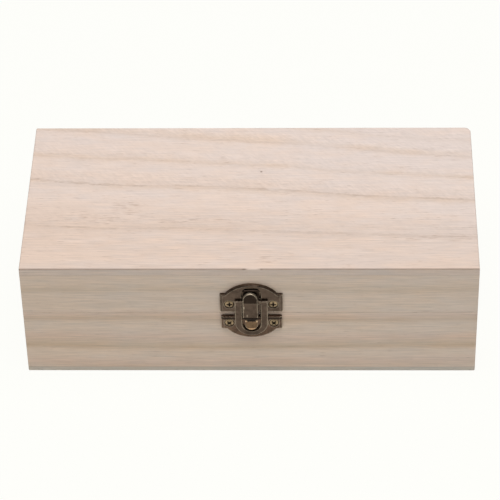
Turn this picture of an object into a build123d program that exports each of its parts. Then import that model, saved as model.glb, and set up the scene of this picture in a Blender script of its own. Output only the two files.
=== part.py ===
"""Wooden storage box with a hinged lid and a flip-lever hasp latch.

The box is a frame of boards sawn into a base and a lid. The long walls are rebated at their ends, the side
walls sit in the rebates, and a thin bottom board and a top board are glued over the frames. Two butt hinges
carry the lid at the rear. At the front a hasp hangs from a plate on the lid. Its slot drops over a staple on
the base, where a small lever turns up in front of it and keeps it there.

Frame: +X along the box, -Y to the front, +Z up. The origin is the middle of the underside.
Every piece is written to parts/NAME.step, in millimetres.
"""

from build123d import *

import os
from math import cos, radians, sin, tan

# Box
BOX_LENGTH = 200.0
BOX_DEPTH = 97.8
BASE_HEIGHT = 35.65
LID_HEIGHT = 25.4
WALL = 7.0
TOP_BOARD = 3.5
BOTTOM_BOARD = 2.5
REBATE_TONGUE = 3.5
CORNER_ROUND = 0.6
REAR_RIGHT_ROUND = 3.0
ARRIS_ROUND = 0.5
SEAM_ROUND = 0.25

# General
OVERRUN = 1.0
MATCH = 0.001
PIN_CLEARANCE = 0.04
PILOT_CLEARANCE = 0.05

# Screws, one pattern for the latch and one for the hinges
LATCH_SCREW_HEAD_R = 1.95
LATCH_SCREW_SHANK_R = 0.95
LATCH_SCREW_LENGTH = 7.4
LATCH_SCREW_CROWN = 0.5
LATCH_SCREW_SINK = 0.25
LOWER_SCREW_TURN = 45.0
HINGE_SCREW_HEAD_R = 1.7
HINGE_SCREW_SHANK_R = 0.85
HINGE_SCREW_LENGTH = 6.0
HINGE_SCREW_CROWN = 0.3
SCREW_SEAT_CLEARANCE = 0.15
CROSS_WIDTH = 0.65
CROSS_SPAN = 2.5
CROSS_DEPTH = 0.7
SCREW_TIP_LENGTH = 1.4

# Latch plates, heights measured from the seam between base and lid
LATCH_X = 0.8
UPPER_PLATE_WIDTH = 27.6
LOWER_PLATE_WIDTH = 26.8
PLATE_THICKNESS = 1.6
PLATE_BEVEL = 0.4
EAR_BEVEL = 1.2
EAR_BEVEL_DEPTH = 0.6
EAR_SHELF = 2.4
EAR_CORNER_R = 0.4
FOOT_CORNER_R = 0.8
UPPER_SCREW_SPACING = 19.2
LOWER_SCREW_SPACING = 19.6
UPPER_PLATE_FOOT = 1.6
UPPER_EAR_TIP = 11.6
UPPER_EAR_ROOT = 11.7
UPPER_PLATE_CREST = 17.3
UPPER_SCREW_HEIGHT = 6.2
LOWER_PLATE_HEAD = 1.15
LOWER_EAR_TIP = 8.3
LOWER_EAR_ROOT = 8.5
LOWER_PLATE_CREST = 13.7
LOWER_SCREW_DROP = 4.8

# Hasp and its hinge pin in the upper plate
HASP_THICKNESS = 1.0
HASP_STANDOFF = 0.3
HASP_WIDTH = 14.5
HASP_SHOULDER = 8.95
HASP_FOOT = 11.1
HASP_BEVEL = 0.25
SLOT_WIDTH = 8.0
SLOT_HEAD = 7.4
SLOT_FOOT = 8.6
NECK_WIDTH = 7.0
NECK_RISE = 0.8
NECK_STRAIGHT = 1.5
WINDOW_WIDTH = 8.8
WINDOW_FOOT = 9.6
WINDOW_HEAD = 16.5
WINDOW_BACK = 0.3
HASP_PIN_R = 0.3
HASP_PIN_HEIGHT = 13.6
HASP_PIN_BEARING = 1.6
HASP_KNUCKLE_R = 0.6
HASP_KNUCKLE_CLEARANCE = 0.1

# Staple on the lower plate, with two ears for the lever's pin
STAPLE_WIDTH = 5.5
STAPLE_FOOT = 7.0
STAPLE_HEAD = 2.6
STAPLE_LIP_REACH = 2.2
STAPLE_LIP_HEIGHT = 1.0
STAPLE_LIP_ROUND = 0.3
STAPLE_BASE = 0.35
EAR_THICKNESS = 0.8
EAR_R = 1.0
LEVER_PIN_R = 0.5
LEVER_PIN_DROP = 1.8

# Lever
LEVER_WIDTH = 6.7
LEVER_THICKNESS = 1.1
LEVER_STANDOFF = 0.4
LEVER_SIDE_SET = 0.4
LEVER_FOOT = -0.25
LEVER_CREASE = 9.05
LEVER_TOP = 13.7
LEVER_LIP_TILT = 14.0
LEVER_ROUND = 0.25
LEVER_ARM_RISE = 1.8
LEVER_ARM_SETBACK = 0.6
LEVER_BARREL_R = 0.75
LEVER_BARREL_CLEARANCE = 0.25
LEVER_BARREL_REST_ANGLE = 45.0
LEVER_ARM_SIDE_CLEARANCE = 0.15

# Hinges
HINGE_X = 60.0
HINGE_LENGTH = 20.0
LEAF_WIDTH = 9.5
LEAF_THICKNESS = 0.9
LEAF_CORNER_R = 1.2
BARREL_R = 1.5
BARREL_CLEARANCE = 0.1
HINGE_PIN_R = 0.75
KNUCKLE_GAP = 0.2
MIDDLE_KNUCKLE = 7.2
LEAF_ROOT_CLEARANCE = 0.25
LEAF_SCREW_SPACING = 12.0
LEAF_SCREW_OFFSET = 5.6

# Derived places
FRONT = -BOX_DEPTH / 2
REAR = BOX_DEPTH / 2
SEAM = BASE_HEIGHT
BOX_HEIGHT = BASE_HEIGHT + LID_HEIGHT
HASP_BACK = PLATE_THICKNESS + HASP_STANDOFF
HASP_FACE = HASP_BACK + HASP_THICKNESS
LEVER_BACK = HASP_FACE + LEVER_STANDOFF
LEVER_FACE = LEVER_BACK + LEVER_THICKNESS
HASP_PIN_DEPTH = WINDOW_BACK + HASP_KNUCKLE_CLEARANCE + HASP_KNUCKLE_R
STAPLE_FACE = PLATE_THICKNESS + STAPLE_BASE
LEVER_PIN_DEPTH = STAPLE_FACE + LEVER_BARREL_CLEARANCE + LEVER_BARREL_R
HINGE_AXIS_Y = REAR + BARREL_CLEARANCE + BARREL_R

# On the front plane x runs along the box, y runs up and the normal points out of the front wall.
FRONT_PLANE = Plane(origin=(LATCH_X, FRONT, SEAM), x_dir=(1, 0, 0), z_dir=(0, -1, 0))
# On the side plane x runs out of the front wall and y runs up.
SIDE_PLANE = Plane(origin=(LATCH_X, FRONT, SEAM), x_dir=(0, -1, 0), z_dir=(-1, 0, 0))
# On the rear plane x runs along the box, y runs up and the normal points into the rear wall.
REAR_PLANE = Plane(origin=(0, REAR, SEAM), x_dir=(1, 0, 0), z_dir=(0, -1, 0))


def span(low, high):
    """A square-edged block between two opposite corners."""
    size = [b - a for a, b in zip(low, high)]
    middle = [(a + b) / 2 for a, b in zip(low, high)]
    return Pos(*middle) * Box(*size)


def edges_on(shape, along, x=None, y=None, z=None):
    """The edges parallel to an axis whose middle has the given coordinates."""
    wanted = [(axis, value) for axis, value in (("X", x), ("Y", y), ("Z", z)) if value is not None]
    return [
        edge
        for edge in shape.edges().filter_by(along)
        if all(abs(getattr(edge.center(), axis) - value) < MATCH for axis, value in wanted)
    ]


def profile(plane, points):
    """A face on a plane, bounded by straight lines through the points."""
    return plane * make_face(Polyline(*points, close=True))


def both_sides(value):
    return (-value / 2, value / 2)


# Boards


def corner_round(x, y):
    """The rounding of an upright corner. The rear right one is sanded rounder than the others."""
    return REAR_RIGHT_ROUND if x > 0 and y > 0 else CORNER_ROUND


def long_wall(side, low, high, seam_at):
    """The front (-1) or rear (1) wall between two heights, rebated at each end to take a side wall."""
    outer, inner = side * BOX_DEPTH / 2, side * (BOX_DEPTH / 2 - WALL)
    shoulder = side * (BOX_DEPTH / 2 - REBATE_TONGUE)
    wall = span((-BOX_LENGTH / 2, min(outer, inner), low), (BOX_LENGTH / 2, max(outer, inner), high))
    for end in (-1, 1):
        x_low, x_high = sorted((end * BOX_LENGTH / 2, end * (BOX_LENGTH / 2 - WALL)))
        y_low, y_high = sorted((shoulder, inner))
        wall -= span((x_low, y_low, low), (x_high, y_high, high))
    for x in both_sides(BOX_LENGTH):
        wall = fillet(edges_on(wall, Axis.Z, x=x, y=outer), corner_round(x, outer))
    return fillet(edges_on(wall, Axis.X, y=outer, z=seam_at), SEAM_ROUND)


def side_wall(side, low, high, seam_at):
    """The left (-1) or right (1) wall, let into the rebates of the long walls."""
    x_low, x_high = sorted((side * BOX_LENGTH / 2, side * (BOX_LENGTH / 2 - WALL)))
    reach = BOX_DEPTH / 2 - REBATE_TONGUE
    wall = span((x_low, -reach, low), (x_high, reach, high))
    return fillet(edges_on(wall, Axis.Y, x=side * BOX_LENGTH / 2, z=seam_at), SEAM_ROUND)


def cover_board(low, high, outside):
    """The top or bottom board over the whole frame, with its outside arrises eased."""
    board = span((-BOX_LENGTH / 2, FRONT, low), (BOX_LENGTH / 2, REAR, high))
    for x in both_sides(BOX_LENGTH):
        for y in both_sides(BOX_DEPTH):
            board = fillet(edges_on(board, Axis.Z, x=x, y=y), corner_round(x, y))
    return fillet(board.faces().sort_by(Axis.Z)[outside].edges(), ARRIS_ROUND)


# Screws


def screw(head_r, shank_r, length, crown):
    """A cross-head wood screw with an oval head. The head's rim is at zero on Z and the tip points down."""
    cone = head_r - shank_r
    dome_r = (head_r**2 + crown**2) / (2 * crown)
    with BuildPart() as body:
        with BuildSketch(Plane.XZ):
            with BuildLine():
                Line((0, crown), (0, -length))
                Line((0, -length), (shank_r, SCREW_TIP_LENGTH - length))
                Line((shank_r, SCREW_TIP_LENGTH - length), (shank_r, -cone))
                Line((shank_r, -cone), (head_r, 0))
                RadiusArc((head_r, 0), (0, crown), -dome_r)
            make_face()
        revolve(axis=Axis.Z)
    recess = Box(CROSS_SPAN, CROSS_WIDTH, CROSS_DEPTH) + Box(CROSS_WIDTH, CROSS_SPAN, CROSS_DEPTH)
    return body.part - Pos(0, 0, crown - CROSS_DEPTH / 2) * recess


def screw_seat(head_r, shank_r, depth, sink):
    """The countersunk hole for a head sunk below its mouth. Its axis is Z and its mouth is at zero."""
    cone = head_r - shank_r + sink
    hole_r = shank_r + SCREW_SEAT_CLEARANCE
    taper = Pos(0, 0, -cone / 2) * Cone(hole_r, hole_r + cone, cone)
    return taper + Pos(0, 0, -depth / 2) * Cylinder(hole_r, depth + OVERRUN)


def pilot_hole(shank_r, depth):
    """The hole in the wood for a screw's shank. Its axis is Z and its mouth is at zero."""
    return Pos(0, 0, -depth / 2) * Cylinder(shank_r + PILOT_CLEARANCE, depth)


def latch_screw_places(spacing, height, sink):
    """Places on the face of a latch plate, or sunk below it, with Z out of the front wall."""
    plane = FRONT_PLANE.offset(PLATE_THICKNESS - sink)
    return [Plane(plane.from_local_coords((x, height, 0)), plane.x_dir, plane.z_dir)
            for x in both_sides(spacing)]


def leaf_screw_places(hinge_x, side):
    """Places on the face of a hinge leaf, with Z out of the rear wall."""
    face = REAR + LEAF_THICKNESS
    height = SEAM + side * LEAF_SCREW_OFFSET
    return [Plane((hinge_x + x, face, height), x_dir=(-1, 0, 0), z_dir=(0, 1, 0))
            for x in both_sides(LEAF_SCREW_SPACING)]


# Latch


def plate_outline(width, foot, tip, root, crest):
    """A latch plate's outline on the front plane: two ears, an arched crest and a foot with round corners."""
    half = width / 2
    inner = half - EAR_SHELF
    with BuildLine() as line:
        Polyline((-inner, root), (-half, tip), (-half, foot), (half, foot), (half, tip), (inner, root))
        ThreePointArc((inner, root), (0, crest), (-inner, root))
    outline = make_face(line.line)
    for height, corner_r in ((foot, FOOT_CORNER_R), (tip, EAR_CORNER_R)):
        level = [v for v in outline.vertices() if abs(v.Y - height) < MATCH]
        corners = [v for v in level if abs(abs(v.X) - half) < MATCH]
        outline = fillet(corners, corner_r)
    return FRONT_PLANE * outline


def tongue_outline(width, square_end, round_end):
    """A face on the front plane between two heights, with one square end and one half-round end."""
    r = width / 2
    spring = round_end - r if round_end > square_end else round_end + r
    with BuildLine() as line:
        Polyline((-r, spring), (-r, square_end), (r, square_end), (r, spring))
        ThreePointArc((r, spring), (0, round_end), (-r, spring))
    return FRONT_PLANE * make_face(line.line)


def latch_plate(width, foot, tip, root, crest, screw_spacing, screw_height):
    """A plate with a narrow bevel round its face, a wide one down each ear's outside, and two screw seats."""
    plate = extrude(plate_outline(width, foot, tip, root, crest), PLATE_THICKNESS)
    rim = plate.faces().sort_by(Axis.Y)[0].edges()
    plate = chamfer(rim, PLATE_BEVEL)
    reach = max(abs(foot), abs(tip)) + OVERRUN
    for side in (-1, 1):
        edge, face = LATCH_X + side * width / 2, FRONT - PLATE_THICKNESS
        shoulder = (edge - side * EAR_BEVEL, face)
        wedge = Polyline((edge, face), shoulder, (edge, face + EAR_BEVEL_DEPTH), close=True)
        plate -= extrude(Plane.XY.offset(SEAM) * make_face(wedge), reach, both=True)
    seat = screw_seat(LATCH_SCREW_HEAD_R, LATCH_SCREW_SHANK_R, PLATE_THICKNESS, LATCH_SCREW_SINK)
    for place in latch_screw_places(screw_spacing, screw_height, 0):
        plate -= place * seat
    return plate


def upper_plate():
    """The lid's plate, with a blind arched window for the hasp's neck and a groove in its back for the pin."""
    plate = latch_plate(
        UPPER_PLATE_WIDTH, UPPER_PLATE_FOOT, UPPER_EAR_TIP, UPPER_EAR_ROOT, UPPER_PLATE_CREST,
        UPPER_SCREW_SPACING, UPPER_SCREW_HEIGHT,
    )
    window = Pos(0, -WINDOW_BACK, 0) * tongue_outline(WINDOW_WIDTH, WINDOW_FOOT, WINDOW_HEAD)
    plate -= extrude(window, PLATE_THICKNESS)
    pin_length = WINDOW_WIDTH + 2 * HASP_PIN_BEARING
    groove_r = HASP_PIN_R + PIN_CLEARANCE
    bed = Pos(HASP_PIN_DEPTH / 2, HASP_PIN_HEIGHT) * Rectangle(HASP_PIN_DEPTH, 2 * groove_r)
    bed += Pos(HASP_PIN_DEPTH, HASP_PIN_HEIGHT) * Circle(groove_r)
    return plate - extrude(SIDE_PLANE * bed, pin_length / 2, both=True)


def hasp_pin():
    length = WINDOW_WIDTH + 2 * (HASP_PIN_BEARING - PIN_CLEARANCE)
    section = Pos(HASP_PIN_DEPTH, HASP_PIN_HEIGHT) * Circle(HASP_PIN_R)
    return extrude(SIDE_PLANE * section, length / 2, both=True)


def hasp():
    """The stirrup that drops over the staple: a slotted plate with a neck rolled round the pin."""
    outline = Pos(0, -HASP_BACK, 0) * tongue_outline(HASP_WIDTH, HASP_SHOULDER, -HASP_FOOT)
    plate = extrude(outline, HASP_THICKNESS)
    plate -= extrude(tongue_outline(SLOT_WIDTH, SLOT_HEAD, -SLOT_FOOT), HASP_FACE)
    plate = chamfer(plate.faces().sort_by(Axis.Y)[0].edges(), HASP_BEVEL)
    bend = HASP_SHOULDER + NECK_RISE
    knuckle_face = HASP_PIN_DEPTH + HASP_KNUCKLE_R
    straight = HASP_PIN_HEIGHT - NECK_STRAIGHT
    neck = profile(SIDE_PLANE, [
        (HASP_BACK, SLOT_HEAD), (HASP_FACE, SLOT_HEAD), (HASP_FACE, bend),
        (knuckle_face, straight), (knuckle_face, HASP_PIN_HEIGHT), (HASP_PIN_DEPTH, HASP_PIN_HEIGHT),
        (HASP_PIN_DEPTH, straight), (HASP_BACK, bend),
    ])
    neck += SIDE_PLANE * Pos(HASP_PIN_DEPTH, HASP_PIN_HEIGHT) * Circle(HASP_KNUCKLE_R)
    neck -= SIDE_PLANE * Pos(HASP_PIN_DEPTH, HASP_PIN_HEIGHT) * Circle(HASP_PIN_R + PIN_CLEARANCE)
    return plate + extrude(neck, NECK_WIDTH / 2, both=True)


def staple():
    """The hook on the lower plate: a sloped tongue with a rounded foot, and two ears for the lever's pin."""
    reach = PLATE_THICKNESS + STAPLE_LIP_REACH
    ear_top = -LEVER_PIN_DROP + EAR_R
    ramp = profile(SIDE_PLANE, [
        (PLATE_THICKNESS, ear_top), (STAPLE_FACE, ear_top), (STAPLE_FACE, -STAPLE_HEAD),
        (reach, -STAPLE_FOOT + STAPLE_LIP_HEIGHT), (reach, -STAPLE_FOOT), (PLATE_THICKNESS, -STAPLE_FOOT),
    ])
    tongue = extrude(ramp, STAPLE_WIDTH / 2, both=True)
    tongue &= extrude(tongue_outline(STAPLE_WIDTH, 0, -STAPLE_FOOT), reach)
    tongue = fillet(tongue.edges().group_by(Axis.Y)[0], STAPLE_LIP_ROUND)
    ear_foot = -LEVER_PIN_DROP - EAR_R
    ear = profile(SIDE_PLANE, [
        (PLATE_THICKNESS, ear_foot), (LEVER_PIN_DEPTH, ear_foot),
        (LEVER_PIN_DEPTH, ear_top), (PLATE_THICKNESS, ear_top),
    ])
    pin_place = SIDE_PLANE * Pos(LEVER_PIN_DEPTH, -LEVER_PIN_DROP)
    ear += pin_place * Circle(EAR_R)
    ears = extrude(ear, STAPLE_WIDTH / 2, both=True)
    ears -= extrude(ear, STAPLE_WIDTH / 2 - EAR_THICKNESS, both=True)
    pin_hole = pin_place * Circle(LEVER_PIN_R + PIN_CLEARANCE)
    return tongue + ears - extrude(pin_hole, STAPLE_WIDTH / 2 + OVERRUN, both=True)


def lever_pin():
    section = Pos(LEVER_PIN_DEPTH, -LEVER_PIN_DROP) * Circle(LEVER_PIN_R)
    return extrude(SIDE_PLANE * section, STAPLE_WIDTH / 2, both=True)


def lever():
    """The flip lever: a flat tongue, set a little to the left of its pin's middle, with a rounded lip bent back
    at the top and an arm behind its foot that goes down to the pin."""
    lean = (LEVER_TOP - LEVER_CREASE) * tan(radians(LEVER_LIP_TILT))
    blade = profile(SIDE_PLANE, [
        (LEVER_BACK, LEVER_FOOT), (LEVER_FACE, LEVER_FOOT), (LEVER_FACE, LEVER_CREASE),
        (LEVER_FACE - lean, LEVER_TOP), (LEVER_BACK - lean, LEVER_TOP), (LEVER_BACK, LEVER_CREASE),
    ])
    blade = extrude(blade, LEVER_WIDTH / 2, both=True)
    blade &= extrude(tongue_outline(LEVER_WIDTH, LEVER_FOOT, LEVER_TOP), LEVER_FACE + OVERRUN)
    fronts = [face for face in blade.faces() if face.normal_at().Y < -cos(radians(2 * LEVER_LIP_TILT))]
    crease = [edge for edge in blade.edges() if sum(edge in face.edges() for face in fronts) > 1]
    rim = [edge for face in fronts for edge in face.edges() if edge not in crease]
    blade = Pos(-LEVER_SIDE_SET, 0, 0) * fillet(rim, LEVER_ROUND)
    arm_width = STAPLE_WIDTH - 2 * EAR_THICKNESS - 2 * LEVER_ARM_SIDE_CLEARANCE
    pin_place = SIDE_PLANE * Pos(LEVER_PIN_DEPTH, -LEVER_PIN_DROP)
    turn = radians(LEVER_BARREL_REST_ANGLE)
    arm = profile(SIDE_PLANE, [
        (LEVER_BACK, LEVER_FOOT + LEVER_ARM_RISE), (LEVER_FACE - LEVER_ARM_SETBACK, LEVER_FOOT),
        (LEVER_PIN_DEPTH + LEVER_BARREL_R, -LEVER_PIN_DROP), (LEVER_PIN_DEPTH, -LEVER_PIN_DROP),
        (LEVER_PIN_DEPTH - LEVER_BARREL_R * sin(turn), -LEVER_PIN_DROP + LEVER_BARREL_R * cos(turn)),
    ])
    arm += pin_place * Circle(LEVER_BARREL_R)
    arm -= pin_place * Circle(LEVER_PIN_R + PIN_CLEARANCE)
    return blade + extrude(arm, arm_width / 2, both=True)


# Hinges


def knuckle_spans(hinge_x, side):
    """The stretches of barrel that a leaf holds: the middle one on the lid, the outer ones on the base."""
    end, middle = HINGE_LENGTH / 2, MIDDLE_KNUCKLE / 2
    if side > 0:
        return [(hinge_x - middle, hinge_x + middle)]
    outer = middle + KNUCKLE_GAP
    return [(hinge_x - end, hinge_x - outer), (hinge_x + outer, hinge_x + end)]


def hinge_leaf(hinge_x, side):
    """The lid's leaf (side 1) or the base's (side -1), flat on the rear wall, with its rolled knuckles."""
    root = BARREL_R + LEAF_ROOT_CLEARANCE
    flat = Pos(hinge_x, side * (root + LEAF_WIDTH) / 2) * Rectangle(HINGE_LENGTH, LEAF_WIDTH - root)
    far = [v for v in flat.vertices() if abs(v.Y - side * LEAF_WIDTH) < MATCH]
    leaf = extrude(REAR_PLANE * fillet(far, LEAF_CORNER_R), -LEAF_THICKNESS)
    axis_line = Plane((0, HINGE_AXIS_Y, SEAM), x_dir=(0, 1, 0), z_dir=(1, 0, 0))
    for low, high in knuckle_spans(hinge_x, side):
        z_low, z_high = sorted((SEAM, SEAM + side * root))
        leaf += span((low, REAR, z_low), (high, REAR + LEAF_THICKNESS, z_high))
        leaf += extrude(axis_line.offset(low) * Circle(BARREL_R), high - low)
    for low, high in knuckle_spans(hinge_x, side):
        leaf -= extrude(axis_line.offset(low) * Circle(HINGE_PIN_R + PIN_CLEARANCE), high - low)
    for place in leaf_screw_places(hinge_x, side):
        leaf -= place * screw_seat(HINGE_SCREW_HEAD_R, HINGE_SCREW_SHANK_R, LEAF_THICKNESS, 0)
    return leaf


def hinge_pin(hinge_x):
    axis_line = Plane((0, HINGE_AXIS_Y, SEAM), x_dir=(0, 1, 0), z_dir=(1, 0, 0))
    return extrude(axis_line.offset(hinge_x - HINGE_LENGTH / 2) * Circle(HINGE_PIN_R), HINGE_LENGTH)


# Assembly


def latch_screws(spacing, height, turn):
    """Two screws on a latch plate, with their crosses turned by an angle."""
    pattern = screw(LATCH_SCREW_HEAD_R, LATCH_SCREW_SHANK_R, LATCH_SCREW_LENGTH, LATCH_SCREW_CROWN)
    places = latch_screw_places(spacing, height, LATCH_SCREW_SINK)
    return [place * (Rot(0, 0, turn) * pattern) for place in places]


def leaf_screws(side):
    pattern = screw(HINGE_SCREW_HEAD_R, HINGE_SCREW_SHANK_R, HINGE_SCREW_LENGTH, HINGE_SCREW_CROWN)
    return [place * pattern for x in (-HINGE_X, HINGE_X) for place in leaf_screw_places(x, side)]


def drill_front(wall, spacing, height):
    for place in latch_screw_places(spacing, height, LATCH_SCREW_SINK):
        wall -= place * pilot_hole(LATCH_SCREW_SHANK_R, LATCH_SCREW_LENGTH)
    return wall


def drill_rear(wall, side):
    for hinge_x in (-HINGE_X, HINGE_X):
        for place in leaf_screw_places(hinge_x, side):
            wall -= place * pilot_hole(HINGE_SCREW_SHANK_R, HINGE_SCREW_LENGTH)
    return wall


def build():
    """Every piece by name."""
    lid_top = BOX_HEIGHT - TOP_BOARD
    pieces = {
        "base_front_wall": drill_front(
            long_wall(-1, BOTTOM_BOARD, SEAM, SEAM), LOWER_SCREW_SPACING, -LOWER_SCREW_DROP
        ),
        "base_rear_wall": drill_rear(long_wall(1, BOTTOM_BOARD, SEAM, SEAM), -1),
        "base_left_wall": side_wall(-1, BOTTOM_BOARD, SEAM, SEAM),
        "base_right_wall": side_wall(1, BOTTOM_BOARD, SEAM, SEAM),
        "bottom_board": cover_board(0, BOTTOM_BOARD, 0),
        "lid_front_wall": drill_front(
            long_wall(-1, SEAM, lid_top, SEAM), UPPER_SCREW_SPACING, UPPER_SCREW_HEIGHT
        ),
        "lid_rear_wall": drill_rear(long_wall(1, SEAM, lid_top, SEAM), 1),
        "lid_left_wall": side_wall(-1, SEAM, lid_top, SEAM),
        "lid_right_wall": side_wall(1, SEAM, lid_top, SEAM),
        "lid_top_board": cover_board(lid_top, BOX_HEIGHT, -1),
        "latch_upper_plate": upper_plate(),
        "latch_lower_plate": latch_plate(
            LOWER_PLATE_WIDTH, -LOWER_PLATE_HEAD, -LOWER_EAR_TIP, -LOWER_EAR_ROOT, -LOWER_PLATE_CREST,
            LOWER_SCREW_SPACING, -LOWER_SCREW_DROP,
        ),
        "latch_hasp": hasp(),
        "latch_hasp_pin": hasp_pin(),
        "latch_staple": staple(),
        "latch_lever": lever(),
        "latch_lever_pin": lever_pin(),
        "latch_upper_screws": latch_screws(UPPER_SCREW_SPACING, UPPER_SCREW_HEIGHT, 0),
        "latch_lower_screws": latch_screws(LOWER_SCREW_SPACING, -LOWER_SCREW_DROP, LOWER_SCREW_TURN),
        "hinge_lid_screws": leaf_screws(1),
        "hinge_base_screws": leaf_screws(-1),
    }
    for name, x in (("left", -HINGE_X), ("right", HINGE_X)):
        pieces[f"hinge_{name}_lid_leaf"] = hinge_leaf(x, 1)
        pieces[f"hinge_{name}_base_leaf"] = hinge_leaf(x, -1)
        pieces[f"hinge_{name}_pin"] = hinge_pin(x)
    return pieces


def write(pieces):
    os.makedirs("parts", exist_ok=True)
    for name, piece in pieces.items():
        shape = Compound(children=piece) if isinstance(piece, list) else piece
        export_step(shape, f"parts/{name}.step")
        print(f"{name}: {shape.volume:.1f} mm3")


if __name__ == "__main__":
    write(build())
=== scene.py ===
from math import cos, radians, sin

import bpy
from bpy.props import FloatProperty, FloatVectorProperty, PointerProperty
from mathutils import Matrix, Vector


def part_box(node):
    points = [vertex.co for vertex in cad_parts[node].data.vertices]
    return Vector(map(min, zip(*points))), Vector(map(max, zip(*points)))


bl_info = {
    "name": "Paulownia storage box",
    "version": (1, 0, 0),
    "blender": (4, 5, 0),
    "location": "View3D > Sidebar > Storage box",
    "description": "Bare paulownia boards and antique bronze fittings for a small hinged storage box",
    "category": "Object",
}

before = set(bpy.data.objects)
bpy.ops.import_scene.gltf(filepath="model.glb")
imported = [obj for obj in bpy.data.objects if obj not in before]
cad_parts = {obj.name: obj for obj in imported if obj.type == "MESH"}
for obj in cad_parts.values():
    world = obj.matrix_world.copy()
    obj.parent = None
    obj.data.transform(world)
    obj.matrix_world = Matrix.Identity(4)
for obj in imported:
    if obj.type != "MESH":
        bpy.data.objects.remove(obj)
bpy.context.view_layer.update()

# Metres in a millimetre: the frame is in metres, and lengths in this script are in millimetres.
MM = 0.001

# A mix node that blends two colours, and one that tints the first colour with the second.
BLEND = {"out": "Result", "data_type": "RGBA"}
TINT = {"out": "Result", "data_type": "RGBA", "blend_type": "MULTIPLY"}

# The box's sides, each with a wall in the base and one in the lid, and nodes that share a material.
WALLS = ("front", "rear", "left", "right")
HASP = ("latch_hasp", "latch_hasp_pin")
LEVER = ("latch_lever", "latch_lever_pin")
HINGES = [
    f"hinge_{side}_{piece}" for side in ("left", "right") for piece in ("lid_leaf", "base_leaf", "pin")]
LATCH_SCREWS = ("latch_upper_screws", "latch_lower_screws")
HINGE_SCREWS = ("hinge_lid_screws", "hinge_base_screws")

# How a board grew, across its face. Rings are place, depth of the late wood's shade, how far the shade
# runs behind and before its darkest place, depth of the thin line there, and strength of the woolly
# figure behind it. Stains are place, depth and half width. Warm parts are place and depth. Reach is the
# stretch that all these lie on. Sway is how far the rings wander, and ragged how much pores break them.
# Woolly is the depth of the slanting figure, and fibrous the share of the straight fibres that shows
# outside the warm parts.
TOP_GROWTH = {
    "rings": ((51.5, 0.08, 4.0, 3.0, 0.15, 0.5), (38.0, 0.2, 5.0, 3.0, 0.25, 0.9),
              (20.5, 0.14, 6.0, 3.0, 0.2, 0.6), (4.0, 0.22, 8.0, 4.0, 0.6, 1.0),
              (-24.0, 0.26, 15.0, 4.0, 0.4, 0.4)),
    "reach": (-62, 62),
    "stains": ((51.0, 0.25, 3.0), (40.0, 0.4, 4.0), (21.0, 0.45, 2.5), (2.5, 0.3, 2.5)),
    "warm": ((-60, 0.9), (-27, 0.8), (-22, 0.55), (-5, 0.3), (40, 0.0)),
    "sway": 2.5, "ragged": 0.7, "woolly": 0.055, "fibrous": 0.55,
}
WALL_GROWTH = {
    "rings": ((49.2, 0.36, 4.0, 2.5, 0.1, 0.0), (32.2, 0.44, 3.0, 2.4, 0.1, 0.0),
              (16.0, 0.56, 7.0, 2.2, 0.2, 0.0), (4.0, 0.25, 4.0, 3.0, 0.0, 0.0)),
    "reach": (-2, 64),
    "stains": ((32.4, 0.3, 3.2), (15.6, 0.4, 2.8)),
    "warm": ((1.5, 0.0), (6.0, 1.0), (10.5, 0.0), (17.0, 0.2), (21.5, 1.0), (25.5, 0.0), (30.0, 0.0),
             (34.2, 1.0), (38.0, 0.0)),
    "sway": 1.5, "ragged": 0.15, "woolly": 0.02, "fibrous": 1.0,
}
# The axes along a board's grain, across its face and through it, the lean and taper of its rings, and a
# shift along the grain, so that no two boards show the same stretch of wood.
GRAIN = {
    "top": ("XYZ", 0.07, 1.0, 0),
    "bottom": ("XYZ", -0.05, 0.6, 400),
    "front": ("XZY", 0.0, 0.0, 0),
    "rear": ("XZY", 0.02, 0.0, 400),
    "left": ("YZX", 0.02, 0.0, 700),
    "right": ("YZX", -0.02, 0.0, 1000),
}
# How far a ring's thin line runs behind and before its place, and how far its woolly figure does, with
# the place where the figure is strongest.
LINE_BEHIND = 0.7
LINE_BEFORE = 1.1
FIGURE_BEHIND = 10
FIGURE_PEAK = 4
FIGURE_BEFORE = 1.5

# Patterns of the wood: lengths along the grain, across the face and through the board, and noise detail.
# Fibres, hairs and pores are coarser than the real fibres of 0.1 mm and pores of 0.2 mm, which are too
# fine to show.
WOOD_PATTERNS = {
    "sway": ((90, 40, 40), 1.0),
    "ragged": ((2.4, 1.1, 1.1), 1.0),
    "breaks": ((11, 2.4, 2.4), 2.0),
    "patches": ((45, 11, 11), 3.0),
    "flecks": ((10, 4, 4), 2.0),
    "fibres": ((45, 0.8, 0.8), 2.0),
    "hairs": ((12, 0.5, 0.5), 1.0),
    "pores": ((5, 0.3, 0.3), 1.0),
    "wool": ((3.2, 1.1, 3.0), 2.0),
}
# How far flecks sway the warmth, and fibres and hairs the brightness, and how much warmth is lost over a
# metre along the grain.
FLECK_SWING = 0.3
FIBRE_SWING = 0.05
HAIR_SWING = 0.09
COOLING = 3.0
# Shares of the woolly figure's depth away from the rings and behind them, and what warm parts keep of it.
PLAIN_FIGURE = 0.6
FULL_FIGURE = 1.6
WARM_FIGURE = 0.3
# How much raggedness takes from a ring's shade and from its line, what a smooth ring's line keeps where
# it is broken, and how much ring lines and torn fibres add to the pores.
RAGGED_SHADE = 0.7
RAGGED_LINE = 0.55
BROKEN_LINE = 0.7
PORE_CROWD = 0.2
# Levels of the pores' noise at which a pore starts and is fully dark.
PORE_START = 0.67
PORE_FULL = 0.82

# A mark is its middle, its radii and its depth. It is full to this share of its radii, and then fades.
MARK_CORE = 0.4
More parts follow.
